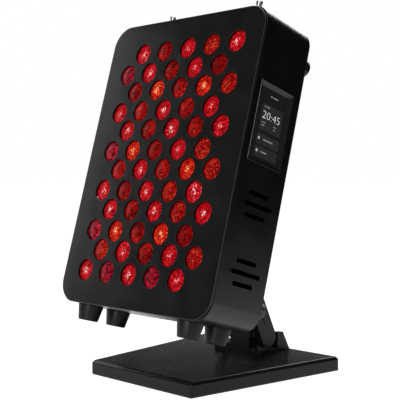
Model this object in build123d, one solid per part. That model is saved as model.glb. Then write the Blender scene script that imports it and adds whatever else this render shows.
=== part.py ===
from build123d import *
from math import atan, cos, degrees, pi, radians, sin, sqrt
import os

# Red light therapy panel on a desk stand with two friction hinges. Millimetres, degrees, +Z up.
# The origin is the middle of the stand's foot, on the table. The lamps face -Y.
# The panel is drawn upright in its own frame: x to the right, y up the face, z out of the face,
# from the middle of the lamp field. The arms are drawn along y from the lower pivot.

# Lamp field: rows in pairs, each row moved sideways against the next
lamp_columns = 5
lamp_pitch = 33.0
row_pairs = 6
row_gap_in_pair = 22.0
row_gap_between_pairs = 19.9
row_shift = 8.75
lamp_hole_d = 21.8
lens_seat = 1.1
lens_back_r = 5.6
lens_depth = 9.0
chip_width = 3.6
chip_height = 1.6

# What glows in each lamp, row by row from the top: C crimson, S scarlet, N and F two infrareds
lamp_kinds = (
    "CNCNC", "FCNCN", "NSNSN", "CNCNC", "CNCNC", "FSNCN",
    "NCNSN", "CNCNC", "CNCNC", "FSNSN", "NCNCN", "CFCFC",
)

# Sides of the small round pieces, which are drawn as polygons because there are so many of them
hole_sides = 10
lens_sides = 8
foot_sides = 20
stud_sides = 12
tie_sides = 12
disc_sides = 8
duct_sides = 16
post_sides = 8
screw_sides = 6

# Housing
panel_width = 215.0
panel_height = 299.0
panel_depth = 68.5
front_corner_r = 22.4
wall_corner_r = 19.0
front_sheet = 2.0
wall = 1.5
back_sheet = 1.5
edge_break = 0.5

# Posts and standoffs that tie the sheets and the board together
post_r = 4.0
post_inset = 15.5
post_top_inset = 11.5
side_post_inset = 8.5
side_post_drop = 67.0
lower_post_inset = 33.0
standoff_r = 2.5
standoff_margin = 3.2

# Vent slots in the side walls, in groups of three
slot_height = 4.2
slot_pitch = 10.5
slot_long = 43.5
slot_short = 27.3
upper_slots_drop = 36.0
lower_slots_drop = 99.1
slot_setback = 1.05

# Display in the right wall
display_height = 77.0
display_width = 49.0
display_rise = 40.5
bezel_corner_r = 1.2
bezel_proud = 0.6
bezel_lip = 1.0
bezel_bevel = 4.6
bezel_sink = 2.6
bezel_flange = 0.8
bezel_rim = 2.0
glass_thickness = 1.2
module_depth = 5.0
ribbon_width = 6.0
ribbon_thickness = 0.5
ribbon_landing = 8.0

# Board, heat sink and electronics
board_margin = 14.5
board_end_margin = 18.5
board_thickness = 1.6
sink_base = 3.0
fin_count = 15
fin_thickness = 1.6
fin_height = 17.0
supply_height = 110.0
supply_depth = 20.0
supply_floor_gap = 9.0
supply_gap = 5.5
supply_edge = 2.0
control_width = 41.0
control_height = 76.0
control_gap = 16.0
control_drop = 24.0
spacer_r = 3.0
spacer_height = 6.0
spacer_inset = 4.5
relay_size = 16.0
relay_height = 9.0

# Fans behind the lamps and the slotted grilles that they blow through
fan_size = 80.0
fan_depth = 15.0
fan_spacing = 14.0
fan_rise = 56.0
duct_r = 37.5
fan_hub_r = 15.0
fan_mount_thickness = 2.0
fan_strut_width = 4.5
fan_shaft_r = 1.5
blade_count = 7
blade_chord = 19.0
blade_thickness = 1.4
blade_pitch_angle = 34.0
blade_tip_gap = 1.2
rotor_gap = 0.8
grille_slots = 9
grille_slot_height = 3.2
grille_slot_pitch = 7.6
grille_r = 35.0
fan_screw_inset = 4.2

# Mains inlet and rocker switch in the back
inlet_inset = 43.5
inlet_drop = 114.0
inlet_flange_width = 31.0
inlet_flange_height = 24.0
inlet_body_width = 27.4
inlet_body_height = 20.4
inlet_depth = 21.0
socket_width = 23.4
socket_height = 16.0
socket_depth = 17.0
socket_corner = 4.0
flange_proud = 2.0
inlet_corner_r = 2.0
blade_pin_width = 2.0
blade_pin_height = 4.0
blade_pin_length = 13.0
blade_pin_spacing = 7.0
switch_drop = 84.0
switch_flange_width = 21.0
switch_flange_height = 15.0
switch_body_width = 18.6
switch_body_height = 12.8
switch_depth = 14.0
switch_wall = 1.2
rocker_gap = 0.5
rocker_angle = 9.0
rocker_crown = 1.4
rocker_body = 3.4
trunnion_r = 1.2
trunnion_reach = 0.9

# Feet, bumpers and hanging studs
foot_top_r = 12.9
foot_tip_r = 9.9
foot_height = 16.0
foot_inset = 35.5
foot_spread = 18.75
bumper_base_r = 11.5
bumper_tip_r = 9.0
bumper_height = 15.0
bumper_side_inset = 16.0
bumper_top_inset = 32.7
bumper_bottom_inset = 22.6
stud_x = 62.0
stud_r = 2.9
stud_reach = 22.5
stud_head_r = 3.7
stud_head_height = 3.0
stud_collar_r = 6.0
stud_collar_height = 1.8
stud_inside = 7.0
nut_r = 5.5
nut_height = 4.0

# Stand: foot plate wider at the back, hinge seat, two arms
foot_plate_front = 145.0
foot_plate_back = 197.0
foot_plate_depth = 192.5
foot_plate_thickness = 13.6
foot_plate_corner_r = 3.0
foot_plate_chamfer = 2.8
mat_thickness = 1.0
mat_inset = 1.0
pivot_setback = 40.35
pivot_height = 32.3
seat_half_width = 34.0
seat_floor = 3.0
seat_front_reach = 9.9
stop_gap = 17.1
stop_wall = 4.0
cheek_thickness = 4.5
cheek_top = 20.6
cheek_top_length = 9.0
cheek_top_fall = 1.0
cheek_foot_length = 20.0
knuckle_width = 27.0
knuckle_depth = 13.0
knuckle_above_pivot = 8.0
knuckle_round = 4.0
arm_length = 133.8
arm_lean = 24.75
panel_lean = 15.95
arm_lower_width = 23.6
arm_upper_width = 16.0
arm_thickness = 8.0
arm_inner_x = 28.0
arm_skin = 2.0
arm_edge = 0.8
groove_width = 1.5
groove_depth = 0.6
groove_end_gap = 15.0
tie_r = 4.0
tie_depth = 3.0
tie_shares = (0.40, 0.72)
pivot_r = 4.0
friction_disc_r = 7.2
friction_groove_r = 6.0
friction_discs = 3
hinge_standoff = 16.5
hinge_drop = 43.2
bracket_width = 84.0
bracket_height = 56.0
bracket_thickness = 3.0
bracket_corner_r = 6.0
bracket_screw_x = 34.0
bracket_screw_rise = 20.0

# Screws, drawn with six-sided heads and plain shanks
small_screw_r = 1.5
small_head_r = 2.9
small_head_height = 1.6
large_screw_r = 2.4
large_head_r = 4.4
large_head_height = 2.2
screw_length = 8.0

# Fits
running_gap = 0.05
side_gap = 0.25
part_gap = 0.2
hole_gap = 0.1
overrun = 1.0

# Places worked out from the sizes above
half_width = panel_width / 2
half_height = panel_height / 2
half_depth = panel_depth / 2
back_inside = -(panel_depth - back_sheet)
board_front = -(front_sheet + lens_depth + chip_height)
sink_front = board_front - board_thickness
fin_tips = sink_front - sink_base - fin_height
board_width = panel_width - 2 * board_margin
board_height = panel_height - 2 * board_end_margin
control_x = half_width - control_gap - control_width / 2
supply_width = 2 * (control_x - control_width / 2 - supply_gap)
supply_drop = half_height - wall - supply_floor_gap - supply_height / 2
fan_x = (fan_size + fan_spacing) / 2
inlet_x = inlet_inset - half_width
foot_plate_top = mat_thickness + foot_plate_thickness
wall_top = cheek_top - cheek_top_fall
post_places = []
for side in (-1, 1):
    post_places += [
        (side * (half_width - post_inset), half_height - post_top_inset),
        (side * (half_width - side_post_inset), -side_post_drop),
        (side * (half_width - lower_post_inset), -half_height + post_top_inset),
    ]

pivot_y = foot_plate_depth / 2 - pivot_setback
arm_place = Location((0, pivot_y, pivot_height), (90 + arm_lean, 0, 0))
upper_pivot_y = pivot_y - arm_length * sin(radians(arm_lean))
upper_pivot_height = pivot_height + arm_length * cos(radians(arm_lean))
upper_pivot_place = Location((0, upper_pivot_y, upper_pivot_height), (90 - panel_lean, 0, 0))
panel_place = upper_pivot_place * Location((0, hinge_drop, panel_depth + hinge_standoff))
right_wall_place = Location((half_width, display_rise, -half_depth), (0, 90, 0))


def row_heights():
    """Heights of the lamp rows above the middle of the field, from the top row down."""
    span = row_pairs * row_gap_in_pair + (row_pairs - 1) * row_gap_between_pairs
    heights = []
    for pair in range(row_pairs):
        top = span / 2 - pair * (row_gap_in_pair + row_gap_between_pairs)
        heights += [top, top - row_gap_in_pair]
    return heights


def lamp_places(kinds):
    """Middles of the lamps of the given kinds, on the face."""
    places = []
    for row, y in enumerate(row_heights()):
        shift = row_shift if row % 2 == 0 else -row_shift
        for column in range(lamp_columns):
            x = (column - (lamp_columns - 1) / 2) * lamp_pitch + shift
            if lamp_kinds[row % len(lamp_kinds)][column % lamp_columns] in kinds:
                places.append((x, y))
    return places


def slab(outline, back, thickness):
    """A flat outline made solid, from its back face towards the front."""
    return extrude(Pos(0, 0, back) * outline, thickness)


def stacked(sides, steps):
    """A many-sided solid along z from the radius, lowest and highest point of each step."""
    return [slab(RegularPolygon(r, sides), low, high - low) for r, low, high in steps]


def narrowing(outline, base_half, tip_half, height):
    """An outline raised along z that narrows from one half width to the other."""
    return extrude(outline, height, taper=degrees(atan((base_half - tip_half) / height)))


def screw(shank_r, head_r, head_height, length):
    """A screw along z: its head stands above zero and its shank goes down."""
    head, shank = stacked(screw_sides, [(head_r, 0, head_height), (shank_r, -length, 0)])
    return head + shank


def screw_hole(shank_r):
    """Clearance hole for a screw."""
    return RegularPolygon(shank_r + hole_gap, screw_sides)


def hollow_box(width, height, depth, thickness):
    """A box along z, open at its top face, which lies at zero."""
    outside = extrude(Rectangle(width, height), -depth)
    inside = extrude(Rectangle(width - 2 * thickness, height - 2 * thickness), -(depth - thickness))
    return outside - inside


# Housing shells
def front_plate():
    outline = RectangleRounded(panel_width, panel_height, front_corner_r)
    holes = [Pos(x, y) * RegularPolygon(lamp_hole_d / 2, hole_sides) for x, y in lamp_places("CSNF")]
    plate = slab(outline - holes, -front_sheet, front_sheet)
    rim = plate.faces().sort_by(Axis.Z)[-1].outer_wire().edges()
    return chamfer(rim, edge_break)


def slot_cuts(side):
    """The vent slots of one side wall, as bars that pass through it."""
    cuts = []
    for drop in (upper_slots_drop, lower_slots_drop):
        for step in (-1, 0, 1):
            length = slot_long if step == 0 else slot_short
            bar = Box(2 * (wall + overrun), slot_height, length)
            cuts.append(Pos(side * half_width, step * slot_pitch - drop, -half_depth - slot_setback) * bar)
    return cuts


def side_band():
    outside = RectangleRounded(panel_width, panel_height, wall_corner_r)
    inside = RectangleRounded(panel_width - 2 * wall, panel_height - 2 * wall, wall_corner_r - wall)
    band = slab(outside - inside, back_inside, panel_depth - back_sheet - front_sheet)
    window = Box(display_width - 2 * bezel_flange, display_height - 2 * bezel_flange, 2 * (wall + overrun))
    band -= right_wall_place * window
    for side in (-1, 1):
        band -= slot_cuts(side)
        stud_hole = RegularPolygon(stud_r + hole_gap, stud_sides)
        band -= stud_place(side) * slab(stud_hole, -wall - overrun, wall + 2 * overrun)
    return band


def grille():
    """Slots behind one fan, as long as the fan's circle lets them be."""
    bars = []
    for number in range(grille_slots):
        y = (number - (grille_slots - 1) / 2) * grille_slot_pitch
        length = 2 * sqrt(max(grille_r ** 2 - y ** 2, grille_slot_height ** 2))
        bars.append(Pos(0, y) * Rectangle(length, grille_slot_height))
    return bars


def back_plate():
    outline = RectangleRounded(panel_width, panel_height, wall_corner_r)
    cuts = [Pos(x, y) * screw_hole(small_screw_r) for x, y in post_places]
    for side in (-1, 1):
        cuts += [Pos(side * fan_x, fan_rise) * bar for bar in grille()]
        cuts += [Pos(x, y) * screw_hole(small_screw_r) for x, y in fan_screw_places(side)]
    cuts += [Pos(x, y) * screw_hole(large_screw_r) for x, y in bracket_screw_places()]
    inlet_cut = Rectangle(inlet_body_width + 2 * part_gap, inlet_body_height + 2 * part_gap)
    switch_cut = Rectangle(switch_body_width + 2 * part_gap, switch_body_height + 2 * part_gap)
    cuts += [Pos(inlet_x, -inlet_drop) * inlet_cut, Pos(inlet_x, -switch_drop) * switch_cut]
    plate = slab(outline - cuts, -panel_depth, back_sheet)
    rim = plate.faces().sort_by(Axis.Z)[0].outer_wire().edges()
    return chamfer(rim, edge_break)


def housing_posts():
    length = panel_depth - back_sheet - front_sheet
    depth = screw_length - back_sheet
    post = slab(RegularPolygon(post_r, post_sides), back_inside, length)
    post -= slab(RegularPolygon(small_screw_r, screw_sides), back_inside, depth)
    return [Pos(x, y) * post for x, y in post_places]


def back_screws():
    one = screw(small_screw_r, small_head_r, small_head_height, screw_length)
    return [Location((x, y, -panel_depth), (180, 0, 0)) * one for x, y in post_places]


# Lamps
def lenses(kind):
    """Collimating lenses that sit behind the holes, wide at the front and narrow at the chip."""
    front_r = lamp_hole_d / 2 + lens_seat
    flat_share = cos(pi / lens_sides)
    outline = RegularPolygon(front_r, lens_sides)
    lens = narrowing(outline, front_r * flat_share, lens_back_r * flat_share, lens_depth)
    return [Location((x, y, -front_sheet), (180, 0, 0)) * lens for x, y in lamp_places(kind)]


def led_chips():
    chip = Box(chip_width, chip_width, chip_height, align=(Align.CENTER, Align.CENTER, Align.MIN))
    return [Pos(x, y, board_front) * chip for x, y in lamp_places("CSNF")]


def led_board():
    return slab(Rectangle(board_width, board_height), sink_front, board_thickness)


def board_standoffs():
    length = -board_front - front_sheet
    rod = extrude(RegularPolygon(standoff_r, screw_sides), length)
    x = board_width / 2 - standoff_margin
    y = board_height / 2 - standoff_margin
    return [Pos(sx * x, sy * y, board_front) * rod for sx in (-1, 1) for sy in (-1, 0, 1)]


def heat_sink():
    sink = slab(Rectangle(board_width, board_height), sink_front - sink_base, sink_base)
    step = (board_width - fin_thickness) / (fin_count - 1)
    fins = [
        Pos((number - (fin_count - 1) / 2) * step, 0) * Rectangle(fin_thickness, board_height)
        for number in range(fin_count)
    ]
    return sink + [slab(fin, fin_tips, fin_height) for fin in fins]


# Electronics
def power_supply():
    case = Pos(0, -supply_drop, fin_tips) * Box(
        supply_width, supply_height, supply_depth, align=(Align.CENTER, Align.CENTER, Align.MAX)
    )
    return chamfer(case.faces().sort_by(Axis.Z)[0].edges(), supply_edge)


def spacer_places():
    x = control_width / 2 - spacer_inset
    y = control_height / 2 - spacer_inset
    return [(control_x + sx * x, -control_drop + sy * y) for sx in (-1, 1) for sy in (-1, 1)]


def control_spacers():
    spacer = extrude(RegularPolygon(spacer_r, screw_sides), spacer_height)
    return [Pos(x, y, back_inside) * spacer for x, y in spacer_places()]


def control_board():
    board = Pos(0, 0, back_inside + spacer_height) * Box(
        control_width, control_height, board_thickness, align=(Align.CENTER, Align.CENTER, Align.MIN)
    )
    top = back_inside + spacer_height + board_thickness
    relay = Box(relay_size, relay_size, relay_height, align=(Align.CENTER, Align.CENTER, Align.MIN))
    rise = control_height / 2 - spacer_inset - relay_size
    board += [Pos(0, sy * rise, top) * relay for sy in (-1, 1)]
    return Pos(control_x, -control_drop) * board


# Display
def bezel_opening():
    """The bevelled window, from the lip on the wall down to the glass."""
    mouth = Rectangle(display_width - 2 * bezel_lip, display_height - 2 * bezel_lip)
    window = narrowing(mouth, bezel_bevel, bezel_lip, bezel_proud + bezel_sink)
    return Location((0, 0, bezel_proud), (180, 0, 0)) * window


def glass_size():
    """Width and height of the pocket behind the window, which the glass fills."""
    inset = 2 * (bezel_flange + bezel_rim)
    return display_width - inset, display_height - inset


def display_bezel():
    width, height = glass_size()
    depth = bezel_sink + glass_thickness + module_depth / 2
    flange = slab(RectangleRounded(display_width, display_height, bezel_corner_r), 0, bezel_proud)
    body = Rectangle(
        display_width - 2 * (bezel_flange + part_gap), display_height - 2 * (bezel_flange + part_gap)
    )
    frame = flange + slab(body, -depth, depth)
    frame -= slab(Rectangle(width, height), -depth, depth - bezel_sink)
    return right_wall_place * (frame - bezel_opening())


def display_glass():
    width, height = glass_size()
    sheet = slab(
        Rectangle(width - 2 * part_gap, height - 2 * part_gap), -bezel_sink - glass_thickness, glass_thickness
    )
    return right_wall_place * sheet


def display_module():
    width, height = glass_size()
    back = -bezel_sink - glass_thickness - module_depth
    case = slab(Rectangle(width - 2 * part_gap, height - 2 * part_gap), back, module_depth)
    return right_wall_place * case


def display_ribbon():
    """A flat cable down the back of the display and over the edge of the control board."""
    module_back = half_width - bezel_sink - glass_thickness - module_depth
    board_top = back_inside + spacer_height + board_thickness
    board_edge = control_x + control_width / 2
    low = display_rise - glass_size()[1] / 2 + part_gap
    drop = Pos(module_back, low, board_top) * Box(
        ribbon_thickness, ribbon_width, -half_depth - board_top, align=(Align.MAX, Align.MIN, Align.MIN)
    )
    landing = Pos(module_back, low, board_top) * Box(
        module_back - board_edge + ribbon_landing, ribbon_width, ribbon_thickness,
        align=(Align.MAX, Align.MIN, Align.MIN),
    )
    return drop + landing


# Fans
def fan_screw_places(side):
    offset = fan_size / 2 - fan_screw_inset
    return [(side * fan_x + sx * offset, fan_rise + sy * offset) for sx in (-1, 1) for sy in (-1, 1)]


def fan_frames():
    """Square frames with a round duct and a motor mount on four struts next to the back plate."""
    offset = fan_size / 2 - fan_screw_inset
    screw_bore = RegularPolygon(small_screw_r, screw_sides)
    holes = [Pos(sx * offset, sy * offset) * screw_bore for sx in (-1, 1) for sy in (-1, 1)]
    duct = RegularPolygon(duct_r, duct_sides, major_radius=False)
    frame = slab(Rectangle(fan_size, fan_size) - duct - holes, 0, fan_depth)
    struts = Rectangle(fan_size, fan_strut_width) + Rectangle(fan_strut_width, fan_size)
    mount = RegularPolygon(fan_hub_r, 2 * blade_count) + struts - Circle(fan_shaft_r + running_gap)
    frame += slab(mount, 0, fan_mount_thickness)
    return [Pos(side * fan_x, fan_rise, back_inside) * frame for side in (-1, 1)]


def fan_screws():
    one = screw(small_screw_r, small_head_r, small_head_height, screw_length)
    places = fan_screw_places(-1) + fan_screw_places(1)
    return [Location((x, y, -panel_depth), (180, 0, 0)) * one for x, y in places]


def fan_rotor(side):
    """Hub with pitched blades, on a shaft that runs in the motor mount."""
    low = fan_mount_thickness + rotor_gap
    height = fan_depth - low - rotor_gap
    rotor = slab(RegularPolygon(fan_hub_r, 2 * blade_count), low, height)
    rotor += slab(Circle(fan_shaft_r), part_gap, low)
    length = duct_r - blade_tip_gap - fan_hub_r / 2
    blade = Pos(fan_hub_r / 2 + length / 2, 0, low + height / 2) * (
        Rot(blade_pitch_angle, 0, 0) * Box(length, blade_chord, blade_thickness)
    )
    rotor += [Rot(0, 0, number * 360 / blade_count) * blade for number in range(blade_count)]
    return Pos(side * fan_x, fan_rise, back_inside) * rotor


# Mains inlet and switch, drawn with z out of the back plate
def on_back(x, drop):
    """A place on the outside of the back plate, with z pointing away from it."""
    return Location((x, -drop, -panel_depth), (0, 180, 0))


def socket_outline():
    """The plug's outline: a rectangle with its two upper corners cut off."""
    w, h, c = socket_width / 2, socket_height / 2, socket_corner
    points = [(-w, -h), (w, -h), (w, h - c), (w - c, h), (-w + c, h), (-w, h - c)]
    return make_face(Polyline(*points, close=True))


def power_inlet():
    flange = extrude(RectangleRounded(inlet_flange_width, inlet_flange_height, inlet_corner_r), flange_proud)
    body = extrude(Rectangle(inlet_body_width, inlet_body_height), -inlet_depth)
    socket = slab(socket_outline(), flange_proud - socket_depth, socket_depth + overrun)
    return on_back(inlet_x, inlet_drop) * (flange + body - socket)


def inlet_pins():
    pin = Box(
        blade_pin_width, blade_pin_height, blade_pin_length, align=(Align.CENTER, Align.CENTER, Align.MIN)
    )
    floor = flange_proud - socket_depth
    places = [(-blade_pin_spacing, 0), (0, 0), (blade_pin_spacing, 0)]
    return [on_back(inlet_x, inlet_drop) * Pos(x, y, floor) * pin for x, y in places]


def switch_frame():
    flange = slab(Rectangle(switch_flange_width, switch_flange_height), 0, flange_proud)
    body = hollow_box(switch_body_width, switch_body_height, switch_depth, switch_wall)
    mouth = Rectangle(switch_body_width - 2 * switch_wall, switch_body_height - 2 * switch_wall)
    frame = flange + body - slab(mouth, 0, flange_proud + overrun)
    bore = Cylinder(trunnion_r + running_gap, switch_body_height - 2 * (switch_wall - trunnion_reach))
    return on_back(inlet_x, switch_drop) * (frame - Rot(90, 0, 0) * bore)


def switch_rocker():
    """A rocker with two sloping faces on trunnions, pressed down at one end."""
    reach = switch_body_width / 2 - switch_wall - rocker_gap
    slope = reach * sin(radians(rocker_angle))
    half = switch_body_height / 2 - switch_wall - part_gap
    crown = flange_proud + rocker_crown
    outline = make_face(Polyline(
        (-reach, flange_proud - slope, 0), (0, crown - slope, 0), (reach, flange_proud - slope, 0),
        (reach, 0, 0), (reach / 2, -rocker_body, 0), (-reach / 2, -rocker_body, 0), (-reach, 0, 0),
        close=True,
    ))
    body = Rot(90, 0, 0) * slab(outline, -half, 2 * half)
    pins = Rot(90, 0, 0) * Cylinder(trunnion_r, 2 * (half + trunnion_reach))
    return on_back(inlet_x, switch_drop) * Rot(0, rocker_angle, 0) * (body + pins)


# Feet, bumpers, studs
def bottom_feet():
    foot = narrowing(RegularPolygon(foot_top_r, foot_sides), foot_top_r, foot_tip_r, foot_height)
    x = half_width - foot_inset
    return [
        Location((sx * x, -half_height, -half_depth + sz * foot_spread), (90, 0, 0)) * foot
        for sx in (-1, 1) for sz in (-1, 1)
    ]


def rear_bumpers():
    bumper = narrowing(RegularPolygon(bumper_base_r, foot_sides), bumper_base_r, bumper_tip_r, bumper_height)
    x = half_width - bumper_side_inset
    heights = (half_height - bumper_top_inset, -half_height + bumper_bottom_inset)
    return [Location((sx * x, y, -panel_depth), (180, 0, 0)) * bumper for sx in (-1, 1) for y in heights]


def stud_place(side):
    return Location((side * stud_x, half_height, -half_depth), (-90, 0, 0))


def hanging_studs():
    neck = stud_reach - stud_head_height
    shank, collar, head = stacked(stud_sides, [
        (stud_r, -stud_inside, neck), (stud_collar_r, 0, stud_collar_height), (stud_head_r, neck, stud_reach)
    ])
    return [stud_place(side) * (shank + collar + head) for side in (-1, 1)]


def stud_nuts():
    outline = RegularPolygon(nut_r, screw_sides) - RegularPolygon(stud_r, stud_sides)
    nut = slab(outline, -wall - nut_height, nut_height)
    return [stud_place(side) * nut for side in (-1, 1)]


# Panel bracket and its hinge, drawn from the upper pivot
def bracket_screw_places():
    return [
        (sx * bracket_screw_x, sy * bracket_screw_rise - hinge_drop) for sx in (-1, 1) for sy in (-1, 1)
    ]


def panel_bracket():
    outline = RectangleRounded(bracket_width, bracket_height, bracket_corner_r)
    holes = [Pos(x, y) * screw_hole(large_screw_r) for x, y in bracket_screw_places()]
    plate = slab(Pos(0, -hinge_drop) * outline - holes, -panel_depth - bracket_thickness, bracket_thickness)
    lug = Box(knuckle_width, knuckle_depth, hinge_standoff, align=(Align.CENTER, Align.CENTER, Align.MIN))
    nose = Rot(0, 90, 0) * Cylinder(knuckle_depth / 2, knuckle_width)
    bore = Rot(0, 90, 0) * Cylinder(pivot_r + running_gap, knuckle_width + overrun)
    lug_place = Pos(0, -hinge_drop, -panel_depth - hinge_standoff)
    return plate + lug_place * (lug + nose) - lug_place * bore


def bracket_screws():
    one = screw(large_screw_r, large_head_r, large_head_height, screw_length)
    seat = -panel_depth - bracket_thickness
    return [Location((x, y, seat), (180, 0, 0)) * one for x, y in bracket_screw_places()]


# Arms, drawn along y from the lower pivot
def arm_right():
    """A bar that tapers from its lower to its upper round end, with a fine groove down its outside."""
    lower_end = Circle(arm_lower_width / 2)
    upper_end = Pos(arm_length, 0) * Circle(arm_upper_width / 2)
    outline = make_hull(lower_end.edges() + upper_end.edges())
    bar = extrude(Plane.YZ.offset(arm_inner_x) * outline, arm_thickness)
    bar = chamfer(bar.faces().sort_by(Axis.X)[-1].edges(), arm_edge)
    groove = Rectangle(arm_length - 2 * groove_end_gap, groove_width)
    bar -= extrude(Plane.YZ.offset(arm_inner_x + arm_thickness) * Pos(arm_length / 2, 0) * groove, -groove_depth)
    pivot_hole = Cylinder(pivot_r, 2 * (arm_thickness - arm_skin))
    tie_hole = slab(RegularPolygon(tie_r, tie_sides), -tie_depth, 2 * tie_depth)
    for y in (0, arm_length):
        bar -= Location((arm_inner_x, y, 0), (0, 90, 0)) * pivot_hole
    for share in tie_shares:
        bar -= Location((arm_inner_x, share * arm_length, 0), (0, 90, 0)) * tie_hole
    return bar


def arm_ties():
    reach = arm_inner_x + tie_depth
    rod = slab(RegularPolygon(tie_r, tie_sides), -reach, 2 * reach)
    return [Location((0, share * arm_length, 0), (0, 90, 0)) * rod for share in tie_shares]


def pivot_shaft():
    return Rot(0, 90, 0) * Cylinder(pivot_r, 2 * (arm_inner_x + arm_thickness - arm_skin))


def friction_stacks():
    """A stack of friction discs on each side of the knuckle, threaded on the pivot."""
    start = knuckle_width / 2 + side_gap
    end = arm_inner_x - side_gap
    disc = (end - start) / (2 * friction_discs - 1)
    discs = stacked(disc_sides, [
        (friction_disc_r, start + 2 * number * disc, start + (2 * number + 1) * disc)
        for number in range(friction_discs)
    ])
    stack = slab(RegularPolygon(friction_groove_r, disc_sides), start, end - start) + discs
    stack -= slab(RegularPolygon(pivot_r, disc_sides, major_radius=False), start - overrun, end + overrun)
    return [Rot(0, 90, 0) * stack, Rot(0, -90, 0) * stack]


# Foot of the stand
def trapezoid(inset):
    """The foot's outline, drawn in by the inset."""
    front = foot_plate_front / 2 - inset
    back = foot_plate_back / 2 - inset
    depth = foot_plate_depth / 2 - inset
    return make_face(Polyline((-front, -depth), (front, -depth), (back, depth), (-back, depth), close=True))


def seat_screw_places():
    x = (knuckle_width / 2 + arm_inner_x) / 2
    front = pivot_y - seat_front_reach + large_head_r + part_gap
    rear = pivot_y + stop_gap + stop_wall + large_head_r + part_gap
    return [(sx * x, y) for sx in (-1, 1) for y in (front, rear)]


def base_plate():
    plate = slab(trapezoid(0), mat_thickness, foot_plate_thickness)
    plate = fillet(plate.edges().filter_by(Axis.Z), foot_plate_corner_r)
    plate = chamfer(plate.faces().sort_by(Axis.Z)[-1].edges(), foot_plate_chamfer)
    depth = screw_length - seat_floor + part_gap
    hole = extrude(screw_hole(large_screw_r), -depth)
    return plate - [Pos(x, y, foot_plate_top) * hole for x, y in seat_screw_places()]


def base_mat():
    return slab(trapezoid(mat_inset), 0, mat_thickness)


def cheek_outline():
    """Side of the hinge seat behind the pivot, seen from the side: y from the stop wall, then height."""
    points = [(0, 0), (0, cheek_top), (cheek_top_length, wall_top), (cheek_foot_length, 0)]
    return make_face(Polyline(*points, close=True))


def hinge_seat():
    """Cast seat on the foot: floor, bored knuckle, and a stop wall between two sloping cheeks."""
    stop_y = pivot_y + stop_gap
    floor_length = seat_front_reach + stop_gap + cheek_foot_length
    floor_box = Box(2 * seat_half_width, floor_length, seat_floor, align=(Align.CENTER, Align.MIN, Align.MIN))
    seat = Pos(0, pivot_y - seat_front_reach, foot_plate_top) * floor_box
    seat -= Pos(0, stop_y + cheek_foot_length, foot_plate_top + seat_floor) * (
        Rot(45, 0, 0) * Box(2 * seat_half_width + overrun, seat_floor, seat_floor)
    )
    cheek = extrude(Plane.YZ.offset(seat_half_width - cheek_thickness) * cheek_outline(), cheek_thickness)
    for side in (cheek, mirror(cheek, about=Plane.YZ)):
        seat += Pos(0, stop_y, foot_plate_top) * side
    wall_box = Box(2 * seat_half_width, stop_wall, wall_top, align=(Align.CENTER, Align.MIN, Align.MIN))
    seat += Pos(0, stop_y, foot_plate_top) * wall_box
    height = pivot_height - foot_plate_top + knuckle_above_pivot
    knuckle = Box(knuckle_width, knuckle_depth, height, align=(Align.CENTER, Align.CENTER, Align.MIN))
    knuckle = fillet(knuckle.faces().sort_by(Axis.Z)[-1].edges().filter_by(Axis.X), knuckle_round)
    seat += Pos(0, pivot_y, foot_plate_top) * knuckle
    bore = Rot(0, 90, 0) * Cylinder(pivot_r + running_gap, knuckle_width + overrun)
    seat -= Pos(0, pivot_y, pivot_height) * bore
    hole = slab(screw_hole(large_screw_r), -overrun, seat_floor + 2 * overrun)
    return seat - [Pos(x, y, foot_plate_top) * hole for x, y in seat_screw_places()]


def seat_screws():
    one = screw(large_screw_r, large_head_r, large_head_height, screw_length)
    return [Pos(x, y, foot_plate_top + seat_floor) * one for x, y in seat_screw_places()]


def write(name, shape, place=Location()):
    """Place one shape, or a list of separate solids, and write it as a node."""
    shapes = shape if isinstance(shape, list) else [shape]
    solids = [solid for piece in shapes for solid in (place * piece).solids()]
    export_step(solids[0] if len(solids) == 1 else Compound(solids), f"parts/{name}.step")


os.makedirs("parts", exist_ok=True)

# Stand
write("base_mat", base_mat())
write("base_plate", base_plate())
write("hinge_seat", hinge_seat())
write("seat_screws", seat_screws())
right_arm = arm_right()
write("arm_right", right_arm, arm_place)
write("arm_left", mirror(right_arm, about=Plane.YZ), arm_place)
write("arm_ties", arm_ties(), arm_place)
write("lower_pivot", pivot_shaft(), arm_place)
write("lower_friction_stacks", friction_stacks(), arm_place)
write("upper_pivot", pivot_shaft(), upper_pivot_place)
write("upper_friction_stacks", friction_stacks(), upper_pivot_place)

# Panel
panel_nodes = {
    "front_plate": front_plate(),
    "side_band": side_band(),
    "back_plate": back_plate(),
    "housing_posts": housing_posts(),
    "back_screws": back_screws(),
    "lenses_crimson": lenses("C"),
    "lenses_scarlet": lenses("S"),
    "lenses_near_infrared": lenses("N"),
    "lenses_far_infrared": lenses("F"),
    "led_chips": led_chips(),
    "led_board": led_board(),
    "board_standoffs": board_standoffs(),
    "heat_sink": heat_sink(),
    "power_supply": power_supply(),
    "control_board": control_board(),
    "control_spacers": control_spacers(),
    "display_bezel": display_bezel(),
    "display_glass": display_glass(),
    "display_module": display_module(),
    "display_ribbon": display_ribbon(),
    "fan_frames": fan_frames(),
    "fan_screws": fan_screws(),
    "fan_rotor_left": fan_rotor(-1),
    "fan_rotor_right": fan_rotor(1),
    "power_inlet": power_inlet(),
    "inlet_pins": inlet_pins(),
    "switch_frame": switch_frame(),
    "switch_rocker": switch_rocker(),
    "bottom_feet": bottom_feet(),
    "rear_bumpers": rear_bumpers(),
    "hanging_studs": hanging_studs(),
    "stud_nuts": stud_nuts(),
    "panel_bracket": panel_bracket(),
    "bracket_screws": bracket_screws(),
}
for name, shape in panel_nodes.items():
    write(name, shape, panel_place)
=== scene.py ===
import math
import random

import bmesh
import bpy
from mathutils import Matrix, Vector


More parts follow.
